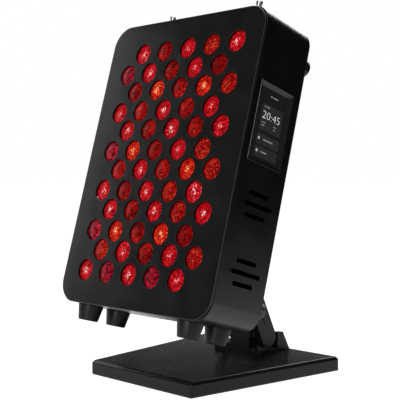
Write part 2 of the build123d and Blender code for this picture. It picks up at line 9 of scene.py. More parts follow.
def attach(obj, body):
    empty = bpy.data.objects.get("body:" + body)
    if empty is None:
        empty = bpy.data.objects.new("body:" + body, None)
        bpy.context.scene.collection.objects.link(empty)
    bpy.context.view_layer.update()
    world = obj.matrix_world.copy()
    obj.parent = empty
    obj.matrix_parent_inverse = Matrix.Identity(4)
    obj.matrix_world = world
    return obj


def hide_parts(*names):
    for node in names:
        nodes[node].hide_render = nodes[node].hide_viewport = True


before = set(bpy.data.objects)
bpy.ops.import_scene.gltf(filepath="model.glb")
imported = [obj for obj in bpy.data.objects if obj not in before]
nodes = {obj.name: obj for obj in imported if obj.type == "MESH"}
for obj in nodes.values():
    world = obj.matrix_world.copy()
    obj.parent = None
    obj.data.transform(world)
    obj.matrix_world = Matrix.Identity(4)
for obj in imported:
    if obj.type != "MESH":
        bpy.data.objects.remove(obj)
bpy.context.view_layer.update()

scene = bpy.context.scene

# Sizes in millimetres, with the case first
mm = 0.001
sides = (-1, 1)
round_steps = 48
panel_width, panel_height, panel_depth = 215.0, 299.0, 68.5
face_corner, face_sheet, face_rim = 22.4, 2.0, 0.8
case_corner, case_wall, case_edge = 19.0, 1.5, 0.3
back_sheet, back_rim = 1.5, 0.6

# Lamp field: pairs of staggered rows, and what glows in each lamp, row by row from the top
lamp_pitch, lamp_hole, lamp_hole_rim_share = 33.0, 10.9, 0.4
row_pairs, lamps_in_row = 6, 5
row_gap_in_pair, row_gap_between_pairs, row_shift = 22.0, 19.9, 8.75
lamp_kinds = (
    "CNCNC", "FCNCN", "NSNSN", "CNCNC", "CNCNC", "FSNCN",
    "NCNSN", "CNCNC", "CNCNC", "FSNSN", "NCNCN", "CFCFC",
)
lens_radius, lens_depth, lens_edge_gap, lens_front_gap = 12.0, 9.0, 0.4, 0.1

# Vent slots, the fans' grilles and the openings of the inlet and the switch
slot_height, slot_pitch, slot_long, slot_short = 4.2, 10.5, 43.5, 27.3
slot_drops, slot_setback, slot_corner, slot_cut_reach = (36.0, 99.1), 1.05, 0.25, 4.0
fan_x, fan_rise, fan_screw_reach = 47.0, 56.0, 35.8
grille_slots, grille_pitch, grille_radius = 9, 7.6, 35.0
grille_slot_height, grille_slot_corner = 3.2, 1.5
inlet_x, inlet_drop, inlet_opening = -64.0, 114.0, (27.8, 20.8)
switch_drop, switch_opening = 84.0, (19.0, 13.2)
opening_corner = 0.5

# Display
window_width, window_height, window_rise = 49.0, 77.0, 40.5
window_corner, window_opening_corner, window_cut_reach = 1.2, 0.3, 5.0
window_proud, window_lip, window_lip_base, window_lip_bevel = 0.6, 1.0, 0.05, 0.32
window_slope, window_flange, window_sink = 4.6, 0.8, 2.6
glass_width, glass_height, glass_sheet, glass_corner, glass_edge = 43.0, 71.0, 1.2, 1.0, 0.15
card_level, bar_level, time_level, mark_height = 0.02, 0.06, 0.09, 0.03
time_middle, time_width, time_height = (0.6, 8.6), 25.0, 7.0

# Feet, bumpers, studs and screws
case_foot_x, case_foot_z = 72.0, 18.75
bumper_x, bumper_heights = 91.5, (116.8, -126.9)
stud_x = 62.0
post_spots = ((92.0, 138.0), (99.0, -67.0), (74.5, -138.0))
bracket_screw_x, bracket_screw_y = 34.0, 20.0
seat_screw_x, seat_screw_ys, seat_flange = 20.75, (50.6, 81.6), 3.0

# Stand
bracket_drop, bracket_sheet, hinge_standoff = 43.2, 3.0, 16.5
arm_length, arm_lean, panel_lean = 133.8, 24.75, 15.95
arm_lower_width, arm_upper_width, arm_inside, arm_outside, arm_rim = 23.6, 16.0, 28.0, 36.0, 1.1
groove_width, groove_length, groove_depth, groove_corner, groove_cut_reach = 1.5, 103.8, 0.6, 0.6, 1.0
pivot_y, pivot_height = 55.9, 32.3
plate_front, plate_back, plate_length, plate_corner = 145.0, 197.0, 192.5, 3.2
plate_low, plate_high = 1.0, 14.6


# Places, as on the part's drawing
def move(x=0.0, y=0.0, z=0.0):
    return Matrix.Translation((x, y, z))


def turn(degrees, axis):
    return Matrix.Rotation(math.radians(degrees), 4, axis)


arm_place = move(0, pivot_y, pivot_height) @ turn(90 + arm_lean, "X")
upper_pivot = move(*(arm_place @ Vector((0, arm_length, 0)))) @ turn(90 - panel_lean, "X")
panel_place = upper_pivot @ move(0, bracket_drop, panel_depth + hinge_standoff)


def on_wall(side, y, z):
    """A place on a side wall of the case, with z pointing across the wall."""
    return move(side * panel_width / 2, y, z) @ turn(90, "Y")


def on_back(x, y):
    """A place on the back of the case, with z pointing away from it."""
    return panel_place @ move(x, y, -panel_depth) @ turn(180, "Y")


window_place = panel_place @ on_wall(1, window_rise, -panel_depth / 2)


# Outlines: each gives its points for an inset, so that rims can be rounded ring by ring
def arc(cx, cy, r, start, end, steps):
    points = []
    for i in range(steps + 1):
        angle = start + (end - start) * i / steps
        points.append((cx + r * math.cos(angle), cy + r * math.sin(angle)))
    return points


def rounded_polygon(points, radius, steps=8):
    """A convex outline with rounded corners, drawn in by the inset (or let out, for a hole)."""
    smallest = 0.01

    def outline(inset):
        count = len(points)
        result = []
        for i in range(count):
            a, b, c = (Vector(points[(i + k) % count]) for k in (-1, 0, 1))
            d1, d2 = (b - a).normalized(), (c - b).normalized()
            n1, n2 = Vector((-d1.y, d1.x)), Vector((-d2.y, d2.x))
            half = (n1 + n2).normalized()
            r = max(radius - inset, smallest)
            centre = b + half * ((r + inset) / half.dot(n1))
            start = math.atan2(-n1.y, -n1.x)
            sweep = math.atan2(d1.cross(d2), d1.dot(d2))
            result += arc(centre.x, centre.y, r, start, start + sweep, steps)
        return [Vector(p) for p in result]
    return outline


def box_outline(w, h, radius, x=0.0, y=0.0, steps=8):
    corners = [(x - w / 2, y - h / 2), (x + w / 2, y - h / 2), (x + w / 2, y + h / 2), (x - w / 2, y + h / 2)]
    return rounded_polygon(corners, radius, steps)


def ring_points(x, y, radius, steps):
    return arc(x, y, radius, 0, 2 * math.pi, steps)[:-1]


def round_outline(x, y, radius, rim_share):
    """A round hole whose edges are rounded by a share of the slab's own rim."""
    def outline(inset):
        return [Vector(p) for p in ring_points(x, y, radius - rim_share * inset, round_steps)]
    return outline


def tapered_outline(length, near_radius, far_radius, steps=20):
    """Two round ends, at zero and at a length up y, joined by straight flanks."""
    lift = math.asin((near_radius - far_radius) / length)

    def outline(inset):
        far = arc(0, length, far_radius - inset, lift, math.pi - lift, steps)
        near = arc(0, 0, near_radius - inset, math.pi - lift, 2 * math.pi + lift, steps)
        return [Vector(p) for p in far + near]
    return outline


def rounded_rim(low, high, radius, steps=3):
    """Levels of a slab between two heights with both rims rounded: (height, inset)."""
    up = [(low + radius * (1 - math.sin(t)), radius * (1 - math.cos(t)))
          for t in [math.pi / 2 * (1 - i / steps) for i in range(steps + 1)]]
    down = [(low + high - z, inset) for z, inset in reversed(up)]
    return up + down


# Shapes
def bridged(bm, low, high):
    """Faces between two rings of points; a ring of one point closes the shape there."""
    count = max(len(low), len(high))
    for i in range(count):
        j = (i + 1) % count
        corners = [low[i % len(low)], low[j % len(low)], high[j % len(high)], high[i % len(high)]]
        bm.faces.new(list(dict.fromkeys(corners)))


def slab(outline, levels, holes=()):
    """A flat piece with holes, built ring by ring from its lowest level to its highest."""
    bm = bmesh.new()
    rims = {0: [], -1: []}
    for loop, sign in [(outline, 1)] + [(hole, -1) for hole in holes]:
        rings = [[bm.verts.new((p.x, p.y, z)) for p in loop(sign * inset)] for z, inset in levels]
        for low, high in zip(rings, rings[1:]):
            bridged(bm, low, high)
        for end in rims:
            ring = rings[end]
            rims[end] += [bm.edges.get((ring[i], ring[(i + 1) % len(ring)])) for i in range(len(ring))]
    for end, edges in rims.items():
        filled = bmesh.ops.triangle_fill(bm, edges=edges, use_beauty=True, use_dissolve=False)["geom"]
        for face in filled:
            if isinstance(face, bmesh.types.BMFace) and (face.normal.z > 0) == (end == 0):
                face.normal_flip()
    bmesh.ops.recalc_face_normals(bm, faces=bm.faces)
    return bm


def bar(outline, low, high):
    """A straight slab with sharp rims."""
    return slab(outline, [(low, 0.0), (high, 0.0)])


def skinned(rings_of_points):
    """A closed solid over rings of points."""
    bm = bmesh.new()
    rings = [[bm.verts.new(point) for point in ring] for ring in rings_of_points]
    for low, high in zip(rings, rings[1:]):
        bridged(bm, low, high)
    bmesh.ops.recalc_face_normals(bm, faces=bm.faces)
    return bm


def softened(points, radius, steps=3):
    """A profile whose inner corners are rounded."""
    longest_share = 0.45
    result = [points[0]]
    for a, b, c in zip(points, points[1:], points[2:]):
        a, b, c = Vector(a), Vector(b), Vector(c)
        reach = min(radius, (a - b).length * longest_share, (c - b).length * longest_share)
        p, q = b + (a - b).normalized() * reach, b + (c - b).normalized() * reach
        for i in range(steps + 1):
            t = i / steps
            result.append(tuple((1 - t) ** 2 * p + 2 * t * (1 - t) * b + t * t * q))
    return result + [points[-1]]


def turned_rings(profile, steps):
    """Rings about z from (radius, height) points; a point on the axis stays a point."""
    rings = []
    for r, z in profile:
        on_axis = r < 1e-6
        rings.append([(0, 0, z)] if on_axis else [(x, y, z) for x, y in ring_points(0, 0, r, steps)])
    return rings


def turned(profile):
    """A round solid about z whose profile begins and ends on the axis."""
    return skinned(turned_rings(profile, round_steps))


def joined(*parts):
    """Several meshes, each at its place, made one."""
    whole = bmesh.new()
    for bm, place in parts:
        mesh = bpy.data.meshes.new("part")
        bm.to_mesh(mesh)
        mesh.transform(place)
        whole.from_mesh(mesh)
        bpy.data.meshes.remove(mesh)
    return whole


# Finishes
def colour(code):
    """An sRGB hex value as linear red, green, blue and alpha."""
    parts = [int(code[i:i + 2], 16) / 255 for i in (0, 2, 4)]
    return [c / 12.92 if c <= 0.04045 else ((c + 0.055) / 1.055) ** 2.4 for c in parts] + [1.0]


def add(tree, kind, settings=None, links=None):
    """Adds a node; a value that is a socket is linked, any other is set on the node's own socket."""
    node = tree.nodes.new(kind)
    for key, value in (settings or {}).items():
        setattr(node, key, value)
    for socket, value in (links or {}).items():
        if isinstance(value, bpy.types.NodeSocket):
            tree.links.new(value, node.inputs[socket])
        else:
            node.inputs[socket].default_value = value
    return node


def new_finish(name):
    finish = bpy.data.materials.new(name)
    finish.use_nodes = True
    finish.node_tree.nodes.clear()
    return finish, finish.node_tree


def coated(name, dark, light, rough, grain_mm, bump_mm, metallic=0.0, specular=0.5, ior=1.5):
    """An even finish: slow drift of tone and gloss, and a fine grain that breaks up the highlights."""
    cloud_mm = 25.0
    finish, tree = new_finish(name)
    place = add(tree, "ShaderNodeTexCoord").outputs["Object"]
    cloud = add(tree, "ShaderNodeTexNoise", links={
        "Vector": place, "Scale": 1 / (cloud_mm * mm), "Detail": 3.0}).outputs["Fac"]
    fine = add(tree, "ShaderNodeTexNoise", links={
        "Vector": place, "Scale": 1 / (grain_mm * mm), "Detail": 1.0}).outputs["Fac"]
    tone = add(tree, "ShaderNodeMix", {"data_type": "RGBA"}, {0: cloud, 6: colour(dark), 7: colour(light)})
    gloss = add(tree, "ShaderNodeMapRange", links={
        "Value": cloud, "From Min": 0.3, "From Max": 0.7, "To Min": rough[0], "To Max": rough[1]})
    relief = add(tree, "ShaderNodeBump", links={"Height": fine, "Strength": 0.6, "Distance": bump_mm * mm})
    shader = add(tree, "ShaderNodeBsdfPrincipled", links={
        "Base Color": tone.outputs[2], "Roughness": gloss.outputs["Result"],
        "Normal": relief.outputs["Normal"], "Metallic": metallic, "Specular IOR Level": specular, "IOR": ior})
    add(tree, "ShaderNodeOutputMaterial", links={"Surface": shader.outputs["BSDF"]})
    return finish


# Fine satin powder coat on sheet steel: nearly black, with a faint orange-peel grain
powder_coat = coated("powder_coat", "09090A", "0D0D0E", (0.30, 0.38), grain_mm=0.6, bump_mm=0.02,
                     specular=0.36)
# Satin enamel on castings: a little coarser and softer than the sheet's coat
cast_enamel = coated("cast_enamel", "0D0D0E", "121213", (0.42, 0.54), grain_mm=1.1, bump_mm=0.05,
                     specular=0.25)
# Thick satin coat of the foot plate: it mirrors the dark seat softly
plate_coat = coated("plate_coat", "0C0C0D", "121213", (0.22, 0.28), grain_mm=1.4, bump_mm=0.03,
                    specular=0.18)
# Moulded rubber: dull, a little lighter where it is worn
moulded_rubber = coated("moulded_rubber", "0A0A0B", "0E0E0F", (0.36, 0.46), grain_mm=0.8, bump_mm=0.03,
                        specular=0.2, ior=1.52)
# Moulded ABS with a spark-eroded grain: dull black
moulded_abs = coated("moulded_abs", "0A0A0B", "0E0E0F", (0.40, 0.50), grain_mm=0.5, bump_mm=0.02,
                     specular=0.35, ior=1.53)
# Fine satin ABS of the window frame: its lip catches the light in a thin line
satin_abs = coated("satin_abs", "0A0A0B", "0E0E0F", (0.28, 0.34), grain_mm=0.5, bump_mm=0.01,
                   specular=0.3, ior=1.53)
# Polished ABS of the rocker: glossy black
polished_abs = coated("polished_abs", "0E0E0F", "131314", (0.16, 0.24), grain_mm=3.0, bump_mm=0.01,
                      specular=0.4, ior=1.53)
# Turned stainless steel: bright, with the haze of fine tool marks
turned_steel = coated("turned_steel", "C6C8CA", "DADCDE", (0.20, 0.30), grain_mm=0.8, bump_mm=0.006,
                      metallic=1.0)
# Zinc plate: greyish, satin
zinc_plate = coated("zinc_plate", "6F7174", "85878A", (0.34, 0.46), grain_mm=1.2, bump_mm=0.01, metallic=1.0)
# Chemically blackened steel: dark with a soft metallic sheen
blackened_steel = coated("blackened_steel", "1C1C1E", "29292B", (0.36, 0.48), grain_mm=0.9, bump_mm=0.01,
                         metallic=0.9)
# Black anodised aluminium of the heat sink: dark fins that barely shine
black_anodised = coated("black_anodised", "0F0F10", "161618", (0.42, 0.52), grain_mm=2.0, bump_mm=0.01,
                        specular=0.3)
# Mill-finish aluminium of the supply's case: grey, with a soft shine
mill_aluminium = coated("mill_aluminium", "8C8E91", "A3A5A8", (0.36, 0.48), grain_mm=2.0, bump_mm=0.01,
                        metallic=1.0)
# Nickel-flashed brass of the blades: pale gold
nickel_brass = coated("nickel_brass", "A38C56", "BBA16E", (0.24, 0.34), grain_mm=1.0, bump_mm=0.006,
                      metallic=1.0)
# Matte black solder mask over the lamp board
lamp_board_mask = coated("lamp_board_mask", "0B0B0C", "111112", (0.45, 0.55), grain_mm=2.0, bump_mm=0.01,
                         specular=0.3)
# Dark green solder mask over the control board
control_board_mask = coated("control_board_mask", "0D1A12", "13251A", (0.30, 0.40), grain_mm=2.4,
                            bump_mm=0.02, specular=0.3)
# Silicone filled with phosphor over the lamp chips: dull yellow
phosphor = coated("phosphor", "B8952F", "CBAA48", (0.3, 0.4), grain_mm=1.0, bump_mm=0.01)
# Amber polyimide film of the flat cable
amber_film = coated("amber_film", "6E4716", "855A22", (0.28, 0.36), grain_mm=3.0, bump_mm=0.006)


def lamp_lens(name, glow, facet_mm, facet_share, core_gain, weakest, strongest):
    """Lens over a lit lamp: small facets that glow unevenly, sparks about its middle and a dark rim."""
    drift_mm, field_mm = 7.0, 28.0
    glow_loss = 0.16
    stop_shares = (0.2, 0.5, 0.78, 0.97)
    finish, tree = new_finish(name)
    place = add(tree, "ShaderNodeTexCoord").outputs["Object"]
    facets = add(tree, "ShaderNodeTexVoronoi", {"feature": "F1"}, {
        "Vector": place, "Scale": 1 / (facet_mm * mm), "Randomness": 1.0})
    spread = add(tree, "ShaderNodeSeparateColor", links={"Color": facets.outputs["Color"]}).outputs["Red"]
    drift = add(tree, "ShaderNodeTexNoise", links={
        "Vector": place, "Scale": 1 / (drift_mm * mm), "Detail": 1.0}).outputs["Fac"]
    across = add(tree, "ShaderNodeAttribute", {"attribute_name": "across"}).outputs["Fac"]
    core = add(tree, "ShaderNodeMapRange", {"interpolation_type": "SMOOTHSTEP"}, {
        "Value": across, "From Min": 0.5, "From Max": 0.0, "To Min": 0.0, "To Max": core_gain})
    mixed = add(tree, "ShaderNodeMix", {"data_type": "FLOAT"}, {0: facet_share, 2: drift, 3: spread})
    field = add(tree, "ShaderNodeTexNoise", links={
        "Vector": place, "Scale": 1 / (field_mm * mm), "Detail": 0.0}).outputs["Fac"]
    strength = add(tree, "ShaderNodeMapRange", links={
        "Value": field, "From Min": 0.35, "From Max": 0.65, "To Min": weakest, "To Max": strongest})
    heat = add(tree, "ShaderNodeMath", {"operation": "MULTIPLY_ADD"}, {
        0: mixed.outputs[0], 1: strength.outputs["Result"], 2: core.outputs["Result"]})
    lowered = add(tree, "ShaderNodeMath", {"operation": "SUBTRACT"}, {0: heat.outputs[0], 1: glow_loss})
    fall = add(tree, "ShaderNodeMapRange", {"interpolation_type": "SMOOTHSTEP"}, {
        "Value": across, "From Min": 1.0, "From Max": 0.78, "To Min": 0.0, "To Max": 1.0})
    level = add(tree, "ShaderNodeMath", {"operation": "MULTIPLY"}, {
        0: lowered.outputs[0], 1: fall.outputs["Result"]})
    ramp = add(tree, "ShaderNodeValToRGB", links={"Fac": level.outputs[0]})
    stops = ramp.color_ramp.elements
    stops.remove(stops[1])
    stops[0].color = colour(glow[0])
    for position, code in zip(stop_shares, glow[1:]):
        stops.new(position).color = colour(code)
    shader = add(tree, "ShaderNodeBsdfPrincipled", links={
        "Base Color": colour(glow[0]), "Roughness": 0.3, "IOR": 1.58, "Specular IOR Level": 0.05,
        "Emission Color": ramp.outputs["Color"], "Emission Strength": 1.0})
    add(tree, "ShaderNodeOutputMaterial", links={"Surface": shader.outputs["BSDF"]})
    return finish


# Polycarbonate lenses over lit lamps, from the dark rim's glow to the brightest spark's
crimson_glow = ("2A0103", "7E0309", "BC0813", "E4202C", "FFDCD8")
scarlet_glow = ("2E0202", "840603", "CA160A", "EE3C14", "FFDC98")
near_infrared_glow = ("180102", "600404", "900A08", "AE160E", "D0482C")
far_infrared_glow = ("180103", "640812", "9A1226", "B42034", "C84058")
crimson_lens = lamp_lens("crimson_lens", crimson_glow, facet_mm=1.1, facet_share=0.75,
                         core_gain=0.34, weakest=1.0, strongest=1.14)
scarlet_lens = lamp_lens("scarlet_lens", scarlet_glow, facet_mm=1.1, facet_share=0.75,
                         core_gain=0.33, weakest=1.0, strongest=1.14)
near_infrared_lens = lamp_lens("near_infrared_lens", near_infrared_glow, facet_mm=1.6, facet_share=0.65,
                               core_gain=0.0, weakest=0.84, strongest=1.36)
far_infrared_lens = lamp_lens("far_infrared_lens", far_infrared_glow, facet_mm=1.9, facet_share=0.75,
                              core_gain=0.0, weakest=0.9, strongest=1.2)


def lit_screen(name, dark, light, drift_mm, rough):
    """Black glass with light behind it, a little uneven."""
    finish, tree = new_finish(name)
    place = add(tree, "ShaderNodeTexCoord").outputs["Object"]
    drift = add(tree, "ShaderNodeTexNoise", links={
        "Vector": place, "Scale": 1 / (drift_mm * mm), "Detail": 1.0})
    tone = add(tree, "ShaderNodeMix", {"data_type": "RGBA"}, {
        0: drift.outputs["Fac"], 6: colour(dark), 7: colour(light)})
    shader = add(tree, "ShaderNodeBsdfPrincipled", links={
        "Base Color": colour("050505"), "Roughness": rough, "IOR": 1.5, "Specular IOR Level": 0.2,
        "Emission Color": tone.outputs[2], "Emission Strength": 1.0})
    add(tree, "ShaderNodeOutputMaterial", links={"Surface": shader.outputs["BSDF"]})
    return finish


# Cover glass, glossy over the faint glow of the screen, and what the screen shows
cover_glass = lit_screen("cover_glass", "141512", "1B1C1A", drift_mm=30.0, rough=0.14)
screen_card = lit_screen("screen_card", "242423", "2B2B29", drift_mm=4.0, rough=0.3)
screen_digits = lit_screen("screen_digits", "E2E2E2", "F4F4F4", drift_mm=4.0, rough=0.3)
screen_text = lit_screen("screen_text", "6A6A6A", "8A8A8A", drift_mm=4.0, rough=0.3)
screen_dots = lit_screen("screen_dots", "9C9C9C", "B4B4B4", drift_mm=4.0, rough=0.3)


# Pieces
def settled(piece):
    """The piece with its modifiers worked into a plain mesh."""
    depsgraph = bpy.context.evaluated_depsgraph_get()
    mesh = bpy.data.meshes.new_from_object(
        piece.evaluated_get(depsgraph), preserve_all_data_layers=True, depsgraph=depsgraph)
    old = piece.data
    piece.modifiers.clear()
    piece.data = mesh
    bpy.data.meshes.remove(old)
    return piece


def bare_piece(name, bm, place, finish=None):
    """A mesh in its place, in metres, with no body yet."""
    mesh = bpy.data.meshes.new(name)
    bm.to_mesh(mesh)
    bm.free()
    mesh.transform(Matrix.Scale(mm, 4) @ place)
    if finish:
        mesh.materials.append(finish)
    piece = bpy.data.objects.new(name, mesh)
    scene.collection.objects.link(piece)
    return piece


def smoothed(piece, sharp=38.0):
    """Smooth shading that keeps flat faces flat and edges crisp."""
    mesh = piece.data
    mesh.shade_smooth()
    mesh.set_sharp_from_angle(angle=math.radians(sharp))
    weighted = piece.modifiers.new("weighted", "WEIGHTED_NORMAL")
    weighted.keep_sharp = True
    return settled(piece)


def cut_out(piece, cutters_bm, place):
    """The piece less the shapes of the cutters."""
    knife = bare_piece("cutters", cutters_bm, place)
    cut = piece.modifiers.new("cut", "BOOLEAN")
    cut.operation = "DIFFERENCE"
    cut.solver = "EXACT"
    cut.object = knife
    settled(piece)
    bpy.data.objects.remove(knife)
    return piece


def mounted(piece, body, slot, *stands_for):
    """The piece rides on its body and stands for the nodes of the frame."""
    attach(piece, body)
    if stands_for:
        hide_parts(*stands_for)
    return piece


def lamp_rows():
    """Height of each lamp row on the face, from the top row down, with its sideways shift."""
    span = row_pairs * row_gap_in_pair + (row_pairs - 1) * row_gap_between_pairs
    rows = []
    for pair in range(row_pairs):
        top = span / 2 - pair * (row_gap_in_pair + row_gap_between_pairs)
        rows += [(top, row_shift), (top - row_gap_in_pair, -row_shift)]
    return rows


def lamps(kinds):
    """Middles of the lamps of the given kinds, on the face."""
    middle = (lamps_in_row - 1) / 2
    return [
        ((column - middle) * lamp_pitch + shift, y)
        for (y, shift), row in zip(lamp_rows(), lamp_kinds)
        for column in range(lamps_in_row) if row[column] in kinds
    ]


# Copies of one shape on points, each turned by chance about its own axis
def copies_tree():
    tree = bpy.data.node_groups.new("copies_on_points", "GeometryNodeTree")
    face = tree.interface
    face.new_socket("Points", in_out="INPUT", socket_type="NodeSocketGeometry")
    face.new_socket("Shape", in_out="INPUT", socket_type="NodeSocketObject")
    face.new_socket("Finish", in_out="INPUT", socket_type="NodeSocketMaterial")
    face.new_socket("Largest turn", in_out="INPUT", socket_type="NodeSocketFloat")
    face.new_socket("Seed", in_out="INPUT", socket_type="NodeSocketInt")
    face.new_socket("Copies", in_out="OUTPUT", socket_type="NodeSocketGeometry")
    given = add(tree, "NodeGroupInput").outputs
    shape = add(tree, "GeometryNodeObjectInfo", {"transform_space": "ORIGINAL"}, {"Object": given["Shape"]})
    chance = add(tree, "FunctionNodeRandomValue", {"data_type": "FLOAT"}, {
        2: 0.0, 3: given["Largest turn"], "Seed": given["Seed"]})
    spin = add(tree, "ShaderNodeCombineXYZ", links={"Z": chance.outputs[1]})
    placed = add(tree, "GeometryNodeInstanceOnPoints", links={
        "Points": given["Points"], "Instance": shape.outputs["Geometry"], "Rotation": spin.outputs["Vector"]})
    real = add(tree, "GeometryNodeRealizeInstances", links={"Geometry": placed.outputs["Instances"]})
    dressed = add(tree, "GeometryNodeSetMaterial", links={
        "Geometry": real.outputs["Geometry"], "Material": given["Finish"]})
    add(tree, "NodeGroupOutput", links={"Copies": dressed.outputs["Geometry"]})
    return tree


copies = copies_tree()


def copied(name, shape_bm, points, place, finish, largest_turn=0.0, seed=1, sharp=38.0):
    """One shape repeated on points of a flat surface, in millimetres, then set in its place in metres."""
    as_drawn = Matrix.Scale(1 / mm, 4)
    shape = bare_piece(name + "_shape", shape_bm, as_drawn)
    shape.data.shade_smooth()
    shape.data.set_sharp_from_angle(angle=math.radians(sharp))
    bm = bmesh.new()
    for x, y in points:
        bm.verts.new((x, y, 0))
    piece = bare_piece(name, bm, as_drawn)
    repeat = piece.modifiers.new("copies", "NODES")
    repeat.node_group = copies
    given = {"Shape": shape, "Finish": finish, "Largest turn": largest_turn, "Seed": seed}
    for socket in copies.interface.items_tree:
        if socket.in_out == "INPUT" and socket.name in given:
            repeat[socket.identifier] = given[socket.name]
    settled(piece)
    bpy.data.objects.remove(shape)
    piece.data.transform(Matrix.Scale(mm, 4) @ place)
    return piece


# Front plate with its sixty holes
face_outline = box_outline(panel_width, panel_height, face_corner, steps=16)
lamp_holes = [round_outline(x, y, lamp_hole, lamp_hole_rim_share) for x, y in lamps("CSNF")]
face_bm = slab(face_outline, rounded_rim(-face_sheet, 0.0, face_rim, steps=4), lamp_holes)
front = smoothed(bare_piece("front_panel", face_bm, panel_place, powder_coat))
mounted(front, "panel", "powder_black", "front_plate")


# Wall round the case, with its window and its vent slots
def wall_cutters():
    """Bars through both side walls for the vent slots, and one through the right wall for the window."""
    cutters = []
    for side in sides:
        for drop in slot_drops:
            for step in (-1, 0, 1):
                length = slot_short if step else slot_long
                vent = box_outline(length, slot_height, slot_corner, steps=2)
                place = on_wall(side, step * slot_pitch - drop, -panel_depth / 2 - slot_setback)
                cutters.append((bar(vent, -slot_cut_reach, slot_cut_reach), place))
    width, height = window_width - 2 * window_flange, window_height - 2 * window_flange
    window = box_outline(width, height, window_opening_corner, steps=2)
    place = on_wall(1, window_rise, -panel_depth / 2)
    cutters.append((bar(window, -window_cut_reach, window_cut_reach), place))
    return joined(*cutters)


outer = box_outline(panel_width, panel_height, case_corner, steps=16)
inner_width, inner_height = panel_width - 2 * case_wall, panel_height - 2 * case_wall
inner = box_outline(inner_width, inner_height, case_corner - case_wall, steps=16)
wall_levels = [(-panel_depth + back_sheet, 0.0), (-face_sheet - case_edge, 0.0), (-face_sheet, case_edge)]
wall = bare_piece("case_wall", slab(outer, wall_levels, [inner]), panel_place, powder_coat)
wall = cut_out(wall, wall_cutters(), panel_place)
mounted(smoothed(wall), "panel", "powder_black", "side_band")

# Back cover with the fans' grilles and the openings for the inlet and the switch
back_holes = []
for side in sides:
    for number in range(grille_slots):
        y = (number - (grille_slots - 1) / 2) * grille_pitch
        length = 2 * math.sqrt(max(grille_radius ** 2 - y ** 2, grille_slot_height ** 2))
        back_holes.append(box_outline(
            length, grille_slot_height, grille_slot_corner, side * fan_x, fan_rise + y, steps=4))
back_holes.append(box_outline(*inlet_opening, opening_corner, inlet_x, -inlet_drop, steps=2))
back_holes.append(box_outline(*switch_opening, opening_corner, inlet_x, -switch_drop, steps=2))
back_bm = slab(outer, rounded_rim(-panel_depth, -panel_depth + back_sheet, back_rim), back_holes)
back = smoothed(bare_piece("back_cover", back_bm, panel_place, powder_coat))
mounted(back, "panel", "powder_black", "back_plate")


# Lenses
def lens_grid(bm, share, faceted):
    """Rings of points over the dome, from its top outwards; a faceted lens has fewer, set unevenly."""
    chance = random.Random(7)
    rings = 6 if faceted else 9
    crown, unevenness = 1.6, 0.28
    sink = 0.9 if faceted else 0.3
    points_added, round_points = 6, 32
    grid = []
    for ring in range(rings + 1):
        t = ring / rings
        count = 1 if ring == 0 else (points_added * ring if faceted else round_points)
        height = -face_sheet - lens_front_gap + crown * (1 - t * t) - sink
        row = []
        for i in range(count):
            angle = 2 * math.pi * (i + (0.5 * (ring % 2) if faceted else 0)) / count
            jitter = chance.uniform(-unevenness, unevenness) if faceted and 0 < ring < rings else 0.0
            r = t * (lens_radius - lens_edge_gap)
            vert = bm.verts.new((r * math.cos(angle), r * math.sin(angle), height + jitter))
            vert[share] = t
            row.append(vert)
        grid.append(row)
    return grid


def stitched(bm, low, high):
    """Triangles between two rings that may have different counts of points."""
    a, b = 0, 0
    while a < len(low) or b < len(high):
        la, lb = low[a % len(low)], high[b % len(high)]
        step_low = len(low) > 1 and a < len(low) and (a + 0.5) / len(low) <= (b + 0.5) / len(high)
        if step_low or b >= len(high):
            bm.faces.new((la, lb, low[(a + 1) % len(low)]))
            a += 1
        else:
            bm.faces.new((la, lb, high[(b + 1) % len(high)]))
            b += 1
        if len(low) == 1 and b >= len(high):
            break


def lens_shape(faceted):
    """A shallow dome behind its hole, on a cone that narrows towards the lamp."""
    tail_share = 0.5
    bm = bmesh.new()
    share = bm.verts.layers.float.new("across")
    grid = lens_grid(bm, share, faceted)
    for low, high in zip(grid, grid[1:]):
        stitched(bm, low, high)
    rim = grid[-1]
    tail = [bm.verts.new((v.co.x * tail_share, v.co.y * tail_share, -face_sheet - lens_depth)) for v in rim]
    for vert in tail:
        vert[share] = 1.0
    bridged(bm, rim, tail)
    bm.faces.new(tail)
    bmesh.ops.recalc_face_normals(bm, faces=bm.faces)
    return bm


for seed, (kind, finish, slot, node, faceted) in enumerate([
    ("C", crimson_lens, "crimson_lens", "lenses_crimson", True),
    ("S", scarlet_lens, "scarlet_lens", "lenses_scarlet", True),
    ("N", near_infrared_lens, "dim_lens", "lenses_near_infrared", False),
    ("F", far_infrared_lens, "violet_lens", "lenses_far_infrared", False),
], start=3):
    lens = copied(slot, lens_shape(faceted), lamps(kind), panel_place, finish,
                  largest_turn=2 * math.pi, seed=seed, sharp=12.0 if faceted else 60.0)
    mounted(lens, "panel", slot, node)


# Display: frame with a sloping window, cover glass and what the screen shows
def window_frame():
    """The frame, ring by ring round its section: width, height and level over the wall."""
    mouth = (window_width - 2 * window_lip, window_height - 2 * window_lip)
    throat = (window_width - 2 * window_slope, window_height - 2 * window_slope)
    back = -window_sink - glass_sheet
    levels = [
        (window_width, window_height, 0.0), (window_width, window_height, window_lip_base),
        (window_width - 2 * window_lip_bevel, window_height - 2 * window_lip_bevel, window_proud),
        (*mouth, window_proud), (*throat, -window_sink), (*throat, back), (*mouth, back), (*mouth, 0.0),
    ]
    bm = bmesh.new()
    rings = []
    for w, h, z in levels:
        outline = box_outline(w, h, window_corner, steps=3)(0.0)
        rings.append([bm.verts.new((p.x, p.y, z)) for p in outline])
    for low, high in zip(rings, rings[1:] + rings[:1]):
        bridged(bm, low, high)
    bmesh.ops.recalc_face_normals(bm, faces=bm.faces)
    return bm


